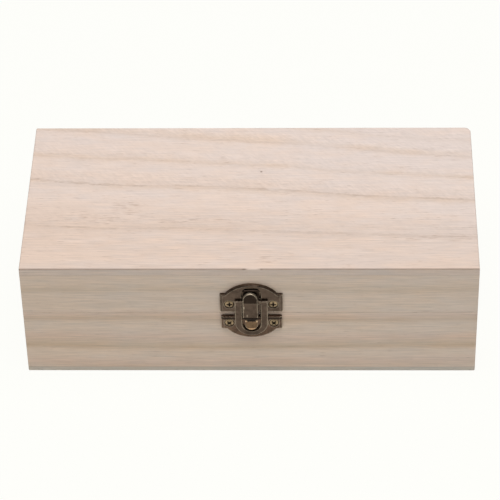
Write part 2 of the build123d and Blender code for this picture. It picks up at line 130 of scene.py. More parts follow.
# Marks on the top board are placed along it from its middle, and behind its front arris. Tears are where
# the planer tore the fibres. The arris shade is a line of painted shade along the front arris, with the
# chip that breaks it.
TEARS = (
    ((-55, 40.4), (11, 7, 3), 0.65),
    ((-66, 34.4), (34, 5, 3), 0.5),
    ((-26, 31.9), (20, 3.5, 3), 0.7),
    ((26, 37.4), (8, 3, 3), 0.55),
    ((8, 6.4), (9, 3.5, 3), 0.6),
    ((84, 20.9), (24, 3, 3), 0.5),
)
SPECKS = (
    ((4.4, 66.0), (0.7, 0.5, 3), 0.9),
    ((-2, 0), (1.3, 0.7, 0.7), 0.5),
    ((5.4, 0), (0.8, 0.7, 0.7), 0.4),
)
ARRIS_SHADE = (((0, 0.2), (9000, 0.6, 0.6), 1.0), ((1.8, 0), (4.0, 1.5, 1.5), 0.8))

# Patterns of the bronze: size and detail of the noise.
BRONZE_PATTERNS = {"cloud": (2.6, 4.0), "peel": (0.55, 2.0)}
# How far the clouds and the orange peel sway the brightness, how much smoother and rougher the clouds make
# the plating, and how much rougher bare brass and niches are.
CLOUD_SWING = 0.28
PEEL_SWING = 0.14
CLOUD_SMOOTHNESS = 0.06
CLOUD_ROUGHNESS = 0.08
RUBBED_ROUGHNESS = 0.22
NICHE_ROUGHNESS = 0.3
# Strength of the black oxide behind a depth, which is also painted shade, and of the painted shade below
# a height, and the lengths over which these and the painted shade above a lip fade.
DEEP_OXIDE_AND_SHADE = 0.55
ROOT_SHADE = 0.95
DEEP_FADE = 0.25
ROOT_SHADE_FADE = 0.15
LIP_FADE = 0.15
# The painted highlight on a crown's rim: its depth, how far inside the radius it starts and is full, and
# the shares of the radius above the crown's middle between which it fades in.
CROWN_DEPTH = 0.75
CROWN_START = 0.35
CROWN_FULL = 0.1
CROWN_FADE = (0.2, 0.5)

# A mark's radius that reaches through a fitting from front to back.
THROUGH = 9
# Radii and depth of the marks at a screw: black oxide round its seat, at the bottom of its cross recess
# and over the middle of its head. The last value is how deep the recess's bottom lies.
SEAT = ((2.7, THROUGH, 2.7), 0.9)
CROSS = ((2.2, 0.6, 2.2), 1.0)
CROSS_HALO = ((1.3, THROUGH, 1.3), 0.5)
CROSS_DEPTH = 0.75
# The upper plate's blind window, below the plate's top, painted paler as painted light in its shade, and
# the shelter that keeps its edges dark.
WINDOW_DROP = 4.3
WINDOW = ((8.0, 1.3, 6.5), 1.0)
WINDOW_SHELTER = ((7.0, THROUGH, 6.0), 1.4)
# The share of the rubbing on a plate's upward edges, which stay dark as painted shade, the width of the
# lower plate's rubbed edges, and the strip of painted shade along that plate's head.
PLATE_SHADED_TOPSIDE = 0.04
LOWER_WIDTH = 1.3
HEAD_SHADE_DROP = 1.0
HEAD_SHADE = ((60, THROUGH, 0.9), 0.85)
# The hasp: its wear, and the share of it on upward edges, which stay dark as painted shade, how far in
# front of the wall its black oxide ends, which is also painted shade, the painted shade near its top, and
# the dark inside of its bend.
HASP_WEAR = 0.85
HASP_SHADED_TOPSIDE = 0.3
HASP_DEEP = 1.65
HASP_LIP_DROP = 4.7
HASP_DUSK = 0.3
BEND_RISE = 0.9
BEND = ((6.0, THROUGH, 2.2), 0.35)
# The lever: the width of its rubbed edges, the painted shade on its dished tip and on its foot, and its
# painted highlights, placed from its lowest corner.
LEVER_WIDTH = 1.6
LEVER_LIP_DROP = 4.5
LEVER_SHADE_RISE = 3.3
LEVER_HIGHLIGHTS = (((0.55, 0.3, 9.2), (0.45, 2, 1.1), 0.5), ((1.95, 0.3, 4.5), (0.35, 2, 0.9), 0.4))
# The staple's two painted glints, beside its middle and above its foot.
GLINT_SIDE = 1.75
GLINT_RISE = 4.3
GLINT = ((0.65, THROUGH, 0.65), 1.0)

# Heights of a ray's direction up to which the room is bright, and from which it is dim.
ROOM_BRIGHT_TO = 0.1
ROOM_DIM_FROM = 0.5


def linear(code):
    """An sRGB hex colour as linear red, green, blue and alpha."""
    parts = [int(code[i:i + 2], 16) / 255 for i in (0, 2, 4)]
    return tuple(c / 12.92 if c <= 0.04045 else ((c + 0.055) / 1.055) ** 2.4 for c in parts) + (1.0,)


def add(tree, kind, inputs=None, out=0, stops=None, **settings):
    """Adds a node with its settings and links. Returns one of its outputs, or the node where it has none.

    An input takes a socket, which is linked, or a value. Stops are the places and grey levels of a ramp."""
    made = tree.nodes.new(kind)
    for name, value in settings.items():
        setattr(made, name, value)
    for key, value in (inputs or {}).items():
        if isinstance(value, bpy.types.NodeSocket):
            tree.links.new(value, made.inputs[key])
        else:
            made.inputs[key].default_value = value
    if stops:
        elements = made.color_ramp.elements
        while len(elements) < len(stops):
            elements.new(1.0)
        for element, (place, level) in zip(elements, sorted(stops)):
            element.position = place
            element.color = (level, level, level, 1.0)
    return made.outputs[out] if made.outputs else made


def spots(tree, place, marks):
    """A mask of soft marks, or None where there are none."""
    mask = None
    for middle, radii, depth in marks:
        away = add(tree, "ShaderNodeVectorMath", {0: place, 1: [v * MM for v in middle]},
                   operation="SUBTRACT")
        away = add(tree, "ShaderNodeVectorMath", {0: away, 1: [1 / (v * MM) for v in radii]},
                   operation="MULTIPLY")
        away = add(tree, "ShaderNodeVectorMath", {0: away}, out="Value", operation="LENGTH")
        spot = add(tree, "ShaderNodeMapRange", {
            "Value": away, "From Min": MARK_CORE, "From Max": 1.0, "To Min": depth, "To Max": 0.0})
        mask = add(tree, "ShaderNodeMath", {0: mask, 1: spot}, operation="MAXIMUM") if mask else spot
    return mask


def corners(box):
    """A box's lowest and highest corners in millimetres."""
    return [corner / MM for corner in box]


def on_top(marks):
    """Marks on the top board's face, with their middles placed in the frame, in millimetres."""
    low, high = corners(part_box("lid_top_board"))
    return [((along, low.y + behind, high.z), radii, depth) for (along, behind), radii, depth in marks]


def screw_heads(name):
    """Middles of the faces of a node's two outermost screw heads, in millimetres."""
    low, high = corners(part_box(name))
    radius = (high.z - low.z) / 2
    face = low.y if name in LATCH_SCREWS else high.y
    return [Vector((x, face, low.z + radius)) for x in (low.x + radius, high.x - radius)]


def colour(name, about, code):
    """A setting for a colour, from its sRGB hex value."""
    return FloatVectorProperty(name=name, description=about, subtype="COLOR", size=4, min=0, max=1,
                               default=linear(code))


def length(name, about, value):
    """A setting for a length, from millimetres."""
    return FloatProperty(name=name, description=about, subtype="DISTANCE", unit="LENGTH", precision=5,
                         default=value * MM)


def point(name, about, place):
    """A setting for a place, from millimetres."""
    return FloatVectorProperty(name=name, description=about, subtype="TRANSLATION", unit="LENGTH", size=3,
                               precision=5, default=[v * MM for v in place])


def share(name, about, value):
    """A setting for a share between none and all."""
    return FloatProperty(name=name, description=about, subtype="FACTOR", min=0, max=1, default=value)


def angle(name, about, value):
    """A setting for an angle, from degrees."""
    return FloatProperty(name=name, description=about, subtype="ANGLE", unit="ROTATION",
                         default=radians(value))


class WoodSettings(bpy.types.PropertyGroup):
    """Colours and finish of the boards."""

    top: colour("Top board", "Pale sapwood of the top board", "E9D7CC")
    # The walls are the same wood as the top board, set a little darker, in part as painted shade.
    wall: colour("Walls", "Sapwood of the walls", "E2CFBD")
    foot: colour("Bottom board", "Greyer wood of the bottom board", "D8CFC5")
    pink: colour("Warm patches", "Tint of the warm patches", "FFFCF9")
    grey: colour("Grey patches", "Tint of the grey patches", "FAFCFF")
    line: colour("Ring line", "Tint of the dark side of a growth ring on top", "D9D2C9")
    ochre: colour("Wall line", "Tint of the dark side of a growth ring on the walls", "E4DDCE")
    stain: colour("Stain", "Ochre tint round a growth ring", "F6EEDF")
    pore: colour("Pores", "Tint of the open pores", "D6CDC5")
    speck: colour("Specks", "Tint of small dark flaws", "8A7A6C")
    heart: colour("Heart side", "Tint of the warmer front part of the top board", "F6F1EB")
    blush: colour("Blush", "Tint of the pink bands on the walls", "FFFAFA")
    side: colour("Board edges", "Tint of the boards' long sawn edges", "FBFEFF")
    end: colour("End grain", "Tint of sawn end grain", "EDE4D9")
    # Painted shade: the grey tint on every arris.
    rim: colour("Arrises", "Tint of the handled edges", "ECE8E4")
    # Painted shade: the dark line along the lid's front arris.
    arris_shade: colour("Front arris", "Tint of the darkened front arris of the lid", "C0BAB4")
    slant: angle("Slant", "Slant of the woolly figure across the grain", 40.0)
    pore_gap: length("End pores", "Spacing of the pores in sawn end grain", 0.9)
    # The width of the arrises' painted shade.
    arris: length("Arris width", "Width of the handled edges", 0.5)
    relief: length("Relief", "Height of the raised fibres above the pores", 0.08)
    roughness: share("Roughness", "Roughness of the sanded face", 0.62)


class BronzeSettings(bpy.types.PropertyGroup):
    """Colours and wear of the fittings."""

    patina: colour("Patina", "Dark brown plating", "57493E")
    russet: colour("Warm patina", "Redder brown plating of the lower plate", "5E4B3E")
    # Painted light: a paler tone that lifts the shade at the back of the blind window.
    niche_light: colour("Niche", "Dull plating at the back of the blind window", "9C8773")
    # Also the colour of the painted highlights on the lever and the staple.
    worn: colour("Worn edge", "Plating rubbed through to brass along the edges", "D2C2AA")
    copper: colour("Rubbed face", "Coppery brown of a face that is often touched", "B89572")
    # Also the colour of the painted shade on the lever, the hasp and the lower plate's head.
    dark: colour("Recess", "Plating left black in recesses", "1C1511")
    brass: colour("Screw brass", "Bronzed brass of the screw heads", "9B8669")
    edge: length("Edge width", "Width of the rubbed edge", 0.45)
    recess: length("Recess reach", "How far round an inner corner the plating stays black", 1.0)
    rounding: length("Rounding", "Radius that tumbling gives the edges", 0.12)
    relief: length("Relief", "Height of the plating's orange peel", 0.03)
    roughness: share("Roughness", "Roughness of the plating", 0.3)


class StageSettings(bpy.types.PropertyGroup):
    """Camera, light and floor."""

    target: point("Target", "Point that the camera looks at", (-0.610, -10.0, 37.852))
    elevation: angle("Elevation", "Camera's height above the level", 41.4807)
    yaw: angle("Yaw", "Camera's turn to the box's right", 2.04372)
    roll: angle("Roll", "Camera's roll", -1.3957)
    distance: length("Distance", "Camera to the point that it looks at", 1190.261)
    lens: FloatProperty(name="Lens", description="Focal length on a 36 mm sensor",
                        subtype="DISTANCE_CAMERA", unit="CAMERA", default=190.469)
    floor: length("Floor", "Side of the square floor", 8000.0)
    paper: colour("Floor colour", "White paper of the floor", "E6E6E2")
    white: colour("Background", "White of the floor as the camera sees it", "FFFFFB")
    veil: share("Veil", "Share of plain white in the floor as the camera sees it", 0.96)
    light: length("Light", "Side of the overhead soft light", 1000.0)
    light_place: point("Light's place", "Middle of the overhead soft light", (50.0, -200.0, 1250.0))
    energy: FloatProperty(name="Light power", description="Power of the overhead light", subtype="POWER",
                          unit="POWER", default=16.2)
    horizon: share("Room", "Level of the room's light near the floor", 0.34)
    ceiling: share("Ceiling", "Level of the room's light higher up", 0.1)


def new_material(name):
    """An empty node material and its tree."""
    made = bpy.data.materials.new(name)
    made.use_nodes = True
    made.node_tree.nodes.clear()
    return made, made.node_tree


def dress(nodes, material):
    """Gives nodes of the frame a material."""
    for name in nodes:
        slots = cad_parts[name].data.materials
        slots.clear()
        slots.append(material)


def growth_masks(tree, noise, along, across, growth, lean, taper):
    """Masks of a board's warm parts and stains, and of its rings' shades, thin lines and woolly figure.

    The rings lean and taper with the trunk, wander slowly, and are ragged where pores break them."""
    ring = add(tree, "ShaderNodeMath", {0: along, 1: lean, 2: across}, operation="MULTIPLY_ADD")
    spread = add(tree, "ShaderNodeMath", {0: along, 1: -taper, 2: 1.0}, operation="MULTIPLY_ADD")
    ring = add(tree, "ShaderNodeMath", {0: ring, 1: spread}, operation="DIVIDE")
    for pattern in ("sway", "ragged"):
        most = growth[pattern] * MM
        drift = add(tree, "ShaderNodeMapRange", {
            "Value": noise[pattern], "From Min": 0.2, "From Max": 0.8, "To Min": -most, "To Max": most})
        ring = add(tree, "ShaderNodeMath", {0: ring, 1: drift}, operation="ADD")
    low, high = growth["reach"]
    ring = add(tree, "ShaderNodeMapRange", {"Value": ring, "From Min": low * MM, "From Max": high * MM})

    marks = {"warm": growth["warm"], "shade": [], "line": [], "figure": [], "stain": []}
    for at, shade, behind, before, line, figure in growth["rings"]:
        marks["shade"] += [(at + behind, 0.0), (at, shade), (at - before, 0.0)]
        marks["line"] += [(at + LINE_BEHIND, 0.0), (at, line), (at - LINE_BEFORE, 0.0)]
        marks["figure"] += [
            (at + FIGURE_BEHIND, 0.0), (at + FIGURE_PEAK, figure), (at - FIGURE_BEFORE, 0.0)]
    for at, depth, width in growth["stains"]:
        marks["stain"] += [(at + width, 0.0), (at, depth), (at - width, 0.0)]
    masks = {}
    for key, stops in marks.items():
        stops = [((at - low) / (high - low), level) for at, level in stops]
        masks[key] = add(tree, "ShaderNodeValToRGB", {0: ring}, stops=stops)
    return masks


def planed_tone(tree, wood, noise, masks, tone, warm_tint, lengthwise):
    """Colour of a planed face without its figure: patches, small flecks, stains and warm parts.

    One end of the board is a little greyer."""
    warmth = add(tree, "ShaderNodeMapRange", {
        "Value": noise["patches"], "From Min": 0.32, "From Max": 0.68})
    flecks = add(tree, "ShaderNodeMapRange", {
        "Value": noise["flecks"], "From Min": 0.3, "From Max": 0.7, "To Min": -FLECK_SWING,
        "To Max": FLECK_SWING})
    warmth = add(tree, "ShaderNodeMath", {0: warmth, 1: flecks}, operation="ADD")
    warmth = add(tree, "ShaderNodeMath", {0: lengthwise, 1: -COOLING, 2: warmth}, operation="MULTIPLY_ADD",
                 use_clamp=True)
    tint = add(tree, "ShaderNodeMix", {"Factor": warmth, "A": wood.grey, "B": wood.pink}, **BLEND)
    face = add(tree, "ShaderNodeMix", {"Factor": 1.0, "A": tone, "B": tint}, **TINT)
    uneven = add(tree, "ShaderNodeMapRange", {
        "Value": noise["patches"], "From Min": 0.35, "From Max": 0.6, "To Min": 0.3, "To Max": 1.0})
    stain = add(tree, "ShaderNodeMath", {0: masks["stain"], 1: uneven}, operation="MULTIPLY")
    face = add(tree, "ShaderNodeMix", {"Factor": stain, "A": face, "B": wood.stain}, **TINT)
    return add(tree, "ShaderNodeMix", {"Factor": masks["warm"], "A": face, "B": warm_tint}, **TINT)


def wood_figure(tree, noise, masks, growth):
    """Brightness of the straight fibres, and of these with the woolly figure.

    The figure is strong behind the rings and fades in warm parts, where straight fibres show instead."""
    woolly = growth["woolly"]
    strength = add(tree, "ShaderNodeMapRange", {
        "Value": masks["figure"], "To Min": PLAIN_FIGURE * woolly, "To Max": FULL_FIGURE * woolly})
    smooth = add(tree, "ShaderNodeMapRange", {"Value": masks["warm"], "To Min": 1.0, "To Max": WARM_FIGURE})
    strength = add(tree, "ShaderNodeMath", {0: strength, 1: smooth}, operation="MULTIPLY")
    swing = {}
    for pattern, most in (("wool", 1.0), ("fibres", FIBRE_SWING), ("hairs", HAIR_SWING)):
        swing[pattern] = add(tree, "ShaderNodeMapRange", {
            "Value": noise[pattern], "From Min": 0.25, "From Max": 0.75, "To Min": -most, "To Max": most})
    wool = add(tree, "ShaderNodeMath", {0: swing["wool"], 1: strength, 2: 1.0}, operation="MULTIPLY_ADD")
    fibres = add(tree, "ShaderNodeMath", {0: swing["fibres"], 1: swing["hairs"]}, operation="ADD")
    straight = add(tree, "ShaderNodeMapRange", {
        "Value": masks["warm"], "To Min": growth["fibrous"], "To Max": 1.0})
    fibres = add(tree, "ShaderNodeMath", {0: fibres, 1: straight, 2: 1.0}, operation="MULTIPLY_ADD")
    return fibres, add(tree, "ShaderNodeMath", {0: fibres, 1: wool}, operation="MULTIPLY")


def sawn_ends_and_shaded_arrises(tree, wood, face, place, board, order):
    """Colour of a board: sawn ends dotted with pores, long edges, and painted shade on the arrises."""
    dots = add(tree, "ShaderNodeTexVoronoi", {"Vector": board, "Scale": 1 / wood.pore_gap}, out="Distance")
    dots = add(tree, "ShaderNodeMapRange", {
        "Value": dots, "From Min": 0.1, "From Max": 0.35, "To Min": 0.8, "To Max": 1.0})
    sawn = add(tree, "ShaderNodeMix", {"Factor": 1.0, "A": wood.end, "B": dots}, **TINT)
    facing = add(tree, "ShaderNodeSeparateXYZ", {0: place.node.outputs["Normal"]}).node.outputs
    for axis, cut in ((order[0], sawn), (order[1], wood.side)):
        turned = add(tree, "ShaderNodeMath", {0: facing[axis]}, operation="ABSOLUTE")
        turned = add(tree, "ShaderNodeMapRange", {"Value": turned, "From Min": 0.6, "From Max": 0.9})
        face = add(tree, "ShaderNodeMix", {"Factor": turned, "A": face, "B": cut}, **TINT)

    # Painted shade: the arrises are greyed where the bevelled normal turns.
    edge = add(tree, "ShaderNodeBevel", {"Radius": wood.arris}, samples=6)
    flat = add(tree, "ShaderNodeNewGeometry", out="Normal")
    edge = add(tree, "ShaderNodeVectorMath", {0: edge, 1: flat}, out="Value", operation="DOT_PRODUCT")
    edge = add(tree, "ShaderNodeMapRange", {"Value": edge, "From Min": 0.99, "From Max": 0.85})
    return add(tree, "ShaderNodeMix", {"Factor": edge, "A": face, "B": wood.rim}, **TINT)


def paulownia(name, wood, tone, line, warm_tint, growth, order, lean, taper, shift,
              tears=(), specks=(), arris_shade=()):
    """Bare paulownia, planed and sanded.

    The planed face is matt and pale, with a woolly slanting figure. Each growth ring darkens slowly to a
    thin brown line and stops short after it, the open pores are short dark dashes along the grain, and the
    colour drifts between pink and grey. Sawn ends are darker and dotted with pores, and the arrises are
    greyed with painted shade."""
    material, tree = new_material(name)
    place = add(tree, "ShaderNodeTexCoord", out="Object")
    axes = add(tree, "ShaderNodeSeparateXYZ", {0: place}).node.outputs
    board = add(tree, "ShaderNodeCombineXYZ", {i: axes[axis] for i, axis in enumerate(order)})
    board = add(tree, "ShaderNodeVectorMath", {0: board, 1: (shift * MM, 0, 0)}, operation="ADD")
    along, across, _ = add(tree, "ShaderNodeSeparateXYZ", {0: board}).node.outputs
    slanted = add(tree, "ShaderNodeVectorRotate", {"Vector": board, "Angle": wood.slant},
                  rotation_type="Z_AXIS")
    noise = {}
    for pattern, (lengths, detail) in WOOD_PATTERNS.items():
        base = slanted if pattern == "wool" else board
        scaled = add(tree, "ShaderNodeVectorMath", {0: base, 1: [1 / (v * MM) for v in lengths]},
                     operation="MULTIPLY")
        noise[pattern] = add(tree, "ShaderNodeTexNoise", {"Vector": scaled, "Scale": 1.0, "Detail": detail})
    masks = growth_masks(tree, noise, along, across, growth, lean, taper)
    face = planed_tone(tree, wood, noise, masks, tone, warm_tint, axes[order[0]])
    fibres, figured = wood_figure(tree, noise, masks, growth)
    face = add(tree, "ShaderNodeMix", {"Factor": 1.0, "A": face, "B": figured}, **TINT)

    # The late wood's shade and thin line, both uneven along the ring.
    ragged = growth["ragged"]
    uneven = {}
    for key, pattern, low, high, least in (
            ("shade", "patches", 0.35, 0.6, 1 - RAGGED_SHADE * ragged),
            ("line", "breaks", 0.4, 0.62, BROKEN_LINE - RAGGED_LINE * ragged)):
        kept = add(tree, "ShaderNodeMapRange", {
            "Value": noise[pattern], "From Min": low, "From Max": high, "To Min": least, "To Max": 1.0})
        uneven[key] = add(tree, "ShaderNodeMath", {0: masks[key], 1: kept}, operation="MULTIPLY")
        face = add(tree, "ShaderNodeMix", {"Factor": uneven[key], "A": face, "B": line}, **TINT)

    # Pores crowd along the ring lines, and where the planer tore the fibres.
    crowd = add(tree, "ShaderNodeMath", {0: uneven["line"], 1: PORE_CROWD * ragged, 2: noise["pores"]},
                operation="MULTIPLY_ADD")
    if tears:
        crowd = add(tree, "ShaderNodeMath", {0: spots(tree, place, tears), 1: PORE_CROWD, 2: crowd},
                    operation="MULTIPLY_ADD")
    pores = add(tree, "ShaderNodeMapRange", {
        "Value": crowd, "From Min": PORE_START, "From Max": PORE_FULL})
    face = add(tree, "ShaderNodeMix", {"Factor": pores, "A": face, "B": wood.pore}, **TINT)
    if specks:
        flaws = spots(tree, place, specks)
        face = add(tree, "ShaderNodeMix", {"Factor": flaws, "A": face, "B": wood.speck}, **TINT)
    # Painted shade: a dark line along the lid's front arris, broken where the chip is.
    if arris_shade:
        arris, chip = (spots(tree, place, (mark,)) for mark in arris_shade)
        arris = add(tree, "ShaderNodeMath", {0: arris, 1: chip}, operation="SUBTRACT", use_clamp=True)
        face = add(tree, "ShaderNodeMix", {"Factor": arris, "A": face, "B": wood.arris_shade}, **TINT)

    face = sawn_ends_and_shaded_arrises(tree, wood, face, place, board, order)
    height = add(tree, "ShaderNodeMath", {0: fibres, 1: pores}, operation="SUBTRACT")
    bump = add(tree, "ShaderNodeBump", {"Strength": 0.3, "Distance": wood.relief, "Height": height})
    shader = add(tree, "ShaderNodeBsdfPrincipled", {
        "Base Color": face, "Roughness": wood.roughness, "IOR": 1.5, "Normal": bump})
    add(tree, "ShaderNodeOutputMaterial", {"Surface": shader})
    return material


def black_oxide_and_shade(tree, metal, place, axes, deep, shade_below, oxide_and_shade_spots):
    """A mask of black plating and painted shade: in corners, behind a depth, below a height and in spots.
    """
    oxide_and_shade = add(tree, "ShaderNodeAmbientOcclusion", {"Distance": metal.recess}, out="AO", only_local=True,
                samples=8)
    oxide_and_shade = add(tree, "ShaderNodeMapRange", {"Value": oxide_and_shade, "From Min": 0.85, "From Max": 0.45})
    # Black oxide behind a depth, which is also painted shade, and painted shade below a height.
    for axis, end, fade, depth in (("Y", deep, -DEEP_FADE, DEEP_OXIDE_AND_SHADE), ("Z", shade_below, ROOT_SHADE_FADE, ROOT_SHADE)):
        if end is not None:
            band = add(tree, "ShaderNodeMapRange", {
                "Value": axes[axis], "From Min": (end + fade) * MM, "From Max": end * MM, "To Max": depth})
            oxide_and_shade = add(tree, "ShaderNodeMath", {0: oxide_and_shade, 1: band}, operation="MAXIMUM")
    if oxide_and_shade_spots:
        oxide_and_shade = add(tree, "ShaderNodeMath", {0: oxide_and_shade, 1: spots(tree, place, oxide_and_shade_spots)}, operation="MAXIMUM")
    return oxide_and_shade


def rubbed_edges(tree, metal, place, cloud, oxide_and_shade, wear, width, shaded_topside, shelters):
    """A mask of the edges where tumbling wears the plating through, found where the bevelled normal turns.

    The black plating and painted shade, and shelters, are spared. On edges that look up only a given share
    of the wear is left, so that they stay dark as painted shade."""
    flat = add(tree, "ShaderNodeNewGeometry", out="Normal")
    edge = add(tree, "ShaderNodeBevel", {"Radius": metal.edge * width}, samples=8)
    edge = add(tree, "ShaderNodeVectorMath", {0: edge, 1: flat}, out="Value", operation="DOT_PRODUCT")
    edge = add(tree, "ShaderNodeMapRange", {
        "Value": edge, "From Min": 0.995, "From Max": 0.95, "To Max": wear})
    uneven = add(tree, "ShaderNodeMapRange", {
        "Value": cloud, "From Min": 0.3, "From Max": 0.6, "To Min": 0.4, "To Max": 1.0})
    rubbed = add(tree, "ShaderNodeMath", {0: edge, 1: uneven}, operation="MULTIPLY")
    spared = add(tree, "ShaderNodeMath", {0: 1.0, 1: oxide_and_shade}, operation="SUBTRACT")
    rubbed = add(tree, "ShaderNodeMath", {0: rubbed, 1: spared}, operation="MULTIPLY")
    # Painted shade: edges that look up keep only a share of the wear and stay dark.
    if shaded_topside < 1:
        up = add(tree, "ShaderNodeSeparateXYZ", {0: place.node.outputs["Normal"]}, out="Z")
        up = add(tree, "ShaderNodeMapRange", {
            "Value": up, "From Min": 0.15, "From Max": 0.45, "To Min": 1.0, "To Max": shaded_topside})
        rubbed = add(tree, "ShaderNodeMath", {0: rubbed, 1: up}, operation="MULTIPLY")
    if shelters:
        spared = add(tree, "ShaderNodeMath", {0: 1.0, 1: spots(tree, place, shelters)},
                     operation="SUBTRACT", use_clamp=True)
        rubbed = add(tree, "ShaderNodeMath", {0: rubbed, 1: spared}, operation="MULTIPLY")
    return rubbed


def crown_highlight(tree, place, axes, crown):
    """A mask of a painted highlight along the rim of a rounded top."""
    across, height, radius = crown
    rim = add(tree, "ShaderNodeVectorMath", {0: place, 1: (across * MM, 0, height * MM)},
              operation="SUBTRACT")
    rim = add(tree, "ShaderNodeVectorMath", {0: rim, 1: (1, 0, 1)}, operation="MULTIPLY")
    rim = add(tree, "ShaderNodeVectorMath", {0: rim}, out="Value", operation="LENGTH")
    rim = add(tree, "ShaderNodeMapRange", {
        "Value": rim, "From Min": (radius - CROWN_START) * MM, "From Max": (radius - CROWN_FULL) * MM,
        "To Max": CROWN_DEPTH})
    low, high = (height + part * radius for part in CROWN_FADE)
    above = add(tree, "ShaderNodeMapRange", {
        "Value": axes["Z"], "From Min": low * MM, "From Max": high * MM})
    return add(tree, "ShaderNodeMath", {0: rim, 1: above}, operation="MULTIPLY")


def bronze(name, metal, face, wear=1.0, width=1.0, shaded_topside=1.0, deep=None, shade_below=None, lip=None, dusk=0.75,
           bare=1.0, oxide_and_shade_spots=(), lit_niches=(), shelters=(), painted_highlights=(), crown=None):
    """Antique bronze: brass, plated dark brown and tumbled.

    Tumbling wears the outer edges down to bright brass and leaves the recesses black. The plating is
    semi-gloss with a slight orange peel, so faces that mirror the pale floor look brown and those that
    mirror the room look nearly black. Marked hollows that the tumbling doesn't reach are matt, and are
    painted paler as painted light in their shade.

    Wear and width are shares of the rubbing and of the edge's width. The black behind a depth is also
    painted shade, and the black below a height is painted shade. Above the height of a lip, dusk is the
    share of painted shade and bare the share of the rubbing that is left. Spots of black and of painted
    shade, spots painted paler as painted light, shelters and painted highlights are marks. A crown is a
    rounded top with a painted highlight on its rim: its middle across, its middle's height and its radius."""
    material, tree = new_material(name)
    place = add(tree, "ShaderNodeTexCoord", out="Object")
    axes = add(tree, "ShaderNodeSeparateXYZ", {0: place}).node.outputs
    noise = {}
    for pattern, (size, detail) in BRONZE_PATTERNS.items():
        noise[pattern] = add(tree, "ShaderNodeTexNoise", {
            "Vector": place, "Scale": 1 / (size * MM), "Detail": detail})
    cloud, peel = noise["cloud"], noise["peel"]

    shades = []
    for pattern, swing in ((cloud, CLOUD_SWING), (peel, PEEL_SWING)):
        shades.append(add(tree, "ShaderNodeMapRange", {
            "Value": pattern, "From Min": 0.3, "From Max": 0.7, "To Min": 1 - swing, "To Max": 1 + swing}))
    shade = add(tree, "ShaderNodeMath", {0: shades[0], 1: shades[1]}, operation="MULTIPLY")
    tone = add(tree, "ShaderNodeMix", {"Factor": 1.0, "A": face, "B": shade}, **TINT)
    oxide_and_shade = black_oxide_and_shade(tree, metal, place, axes, deep, shade_below, oxide_and_shade_spots)
    tone = add(tree, "ShaderNodeMix", {"Factor": oxide_and_shade, "A": tone, "B": metal.dark}, **BLEND)
    # Painted light: the window is painted paler, and its added roughness is real.
    dull_lit_niche = spots(tree, place, lit_niches)
    if dull_lit_niche:
        tone = add(tree, "ShaderNodeMix", {"Factor": dull_lit_niche, "A": tone, "B": metal.niche_light}, **BLEND)

    rubbed = rubbed_edges(tree, metal, place, cloud, oxide_and_shade, wear, width, shaded_topside, shelters)
    # Painted shade above the lip: on the lever's dished tip and near the hasp's top.
    if lip is not None:
        dish = add(tree, "ShaderNodeMapRange", {
            "Value": axes["Z"], "From Min": (lip - LIP_FADE) * MM, "From Max": (lip + LIP_FADE) * MM})
        shaded = add(tree, "ShaderNodeMath", {0: dish, 1: dusk}, operation="MULTIPLY")
        tone = add(tree, "ShaderNodeMix", {"Factor": shaded, "A": tone, "B": metal.dark}, **BLEND)
        kept = add(tree, "ShaderNodeMapRange", {"Value": dish, "To Min": 1.0, "To Max": bare})
        rubbed = add(tree, "ShaderNodeMath", {0: rubbed, 1: kept}, operation="MULTIPLY")
    # Painted highlights, in the colour of bare brass.
    if painted_highlights:
        rubbed = add(tree, "ShaderNodeMath", {0: rubbed, 1: spots(tree, place, painted_highlights)}, operation="MAXIMUM")
    # A painted highlight along the crown's rim, in the colour of bare brass.
    if crown:
        rim = crown_highlight(tree, place, axes, crown)
        rubbed = add(tree, "ShaderNodeMath", {0: rubbed, 1: rim}, operation="MAXIMUM")
    tone = add(tree, "ShaderNodeMix", {"Factor": rubbed, "A": tone, "B": metal.worn}, **BLEND)

    rough = add(tree, "ShaderNodeMapRange", {
        "Value": cloud, "From Min": 0.3, "From Max": 0.7, "To Min": metal.roughness - CLOUD_SMOOTHNESS,
        "To Max": metal.roughness + CLOUD_ROUGHNESS})
    rough = add(tree, "ShaderNodeMath", {0: rubbed, 1: RUBBED_ROUGHNESS, 2: rough},
                operation="MULTIPLY_ADD")
    if dull_lit_niche:
        rough = add(tree, "ShaderNodeMath", {0: dull_lit_niche, 1: NICHE_ROUGHNESS, 2: rough},
                    operation="MULTIPLY_ADD")
    rounded = add(tree, "ShaderNodeBevel", {"Radius": metal.rounding}, samples=6)
    bump = add(tree, "ShaderNodeBump", {
        "Strength": 0.25, "Distance": metal.relief, "Height": peel, "Normal": rounded})
    shader = add(tree, "ShaderNodeBsdfPrincipled", {
        "Base Color": tone, "Metallic": 1.0, "Roughness": rough, "Normal": bump})
    add(tree, "ShaderNodeOutputMaterial", {"Surface": shader})
    return material


class STORAGEBOX_OT_boards(bpy.types.Operator):
    """Gives the ten boards their bare paulownia"""

    bl_idname = "storage_box.boards"
    bl_label = "Boards"

    def execute(self, context):
        wood = context.scene.storage_box_wood
        top = paulownia("paulownia_top", wood, wood.top, wood.line, wood.heart, TOP_GROWTH, *GRAIN["top"],
                        tears=on_top(TEARS), specks=on_top(SPECKS), arris_shade=on_top(ARRIS_SHADE))
        dress(("lid_top_board",), top)
        bottom = paulownia("paulownia_bottom", wood, wood.foot, wood.line, wood.heart, TOP_GROWTH,
                           *GRAIN["bottom"])
        dress(("bottom_board",), bottom)
        # The two walls of a side share a material, so their grain runs on over the seam.
        for side in WALLS:
            wall = paulownia(f"paulownia_{side}", wood, wood.wall, wood.ochre, wood.blush, WALL_GROWTH,
                             *GRAIN[side])
            dress((f"base_{side}_wall", f"lid_{side}_wall"), wall)
        return {"FINISHED"}


